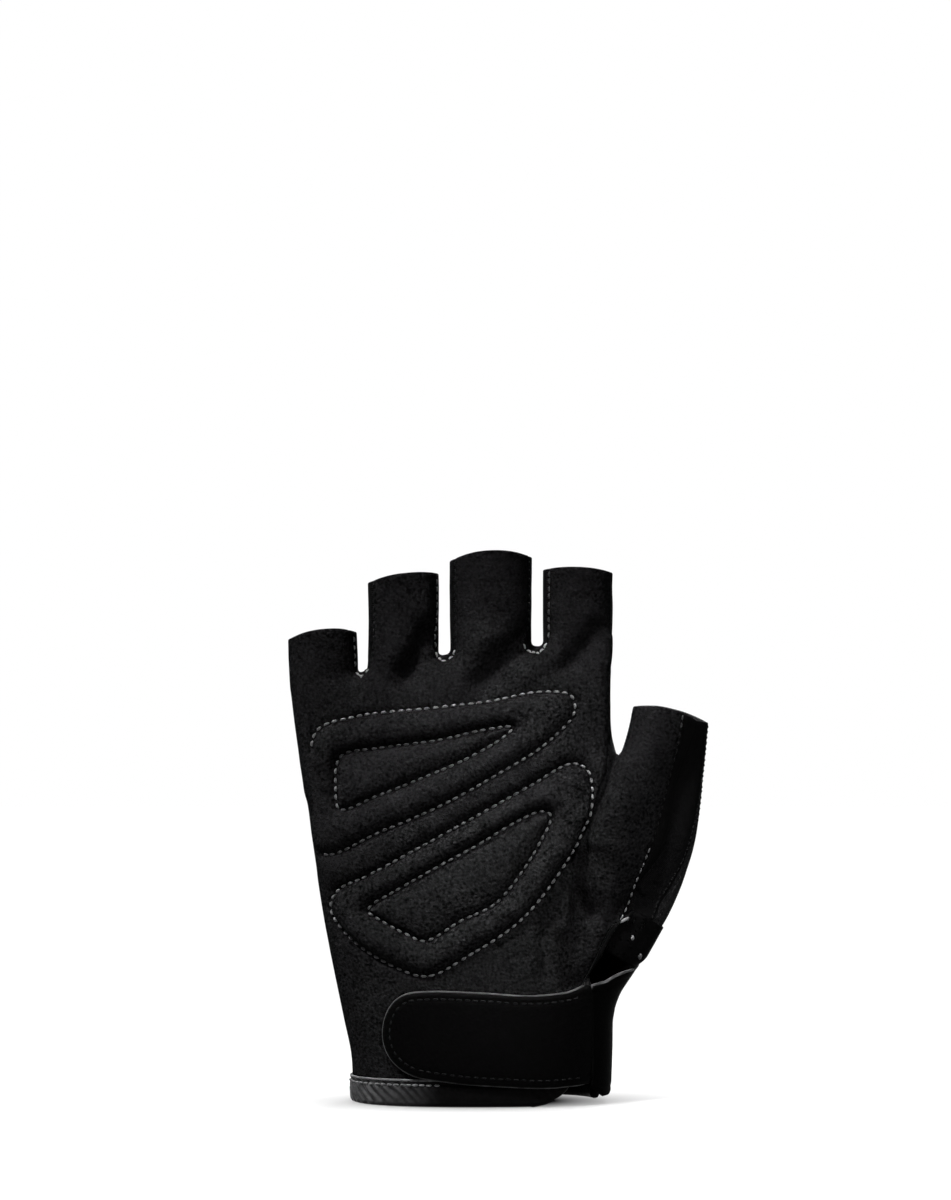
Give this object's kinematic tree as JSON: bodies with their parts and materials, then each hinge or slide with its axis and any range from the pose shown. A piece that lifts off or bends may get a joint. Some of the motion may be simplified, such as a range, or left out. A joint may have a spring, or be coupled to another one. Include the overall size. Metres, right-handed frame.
{
  "type": "cycling glove",
  "caption": "Right-hand half-finger cycling glove in its worn form, with a quilted suede palm, stretch back and a wrist closing strap",
  "frame": {"origin": "centre of the wrist opening, in the plane of the hem", "axes": "+Z runs from the wrist to the fingertips, -Y is the palm side and +X the thumb side"},
  "size_m": [0.1215, 0.0448, 0.159],
  "materials": {
    "suede": "matte napped synthetic suede",
    "stretch": "smooth stretch knit",
    "tape": "slightly shiny elastic tape",
    "strap": "smooth semi-matte synthetic leather"
  },
  "bodies": {
    "root": {"palm_panel": "suede", "back_panel": "stretch", "thumb_side_panel": "stretch", "finger_strip_little_ring": "stretch", "finger_strip_ring_middle": "stretch", "finger_strip_middle_index": "stretch", "upper_palm_pad": "suede", "lower_palm_pad": "suede", "cuff_tape": "tape", "vent_tape": "tape", "thumb_hem_tape": "tape", "wrist_strap": "strap", "strap_side_band": "strap"}
  },
  "joints": []
}
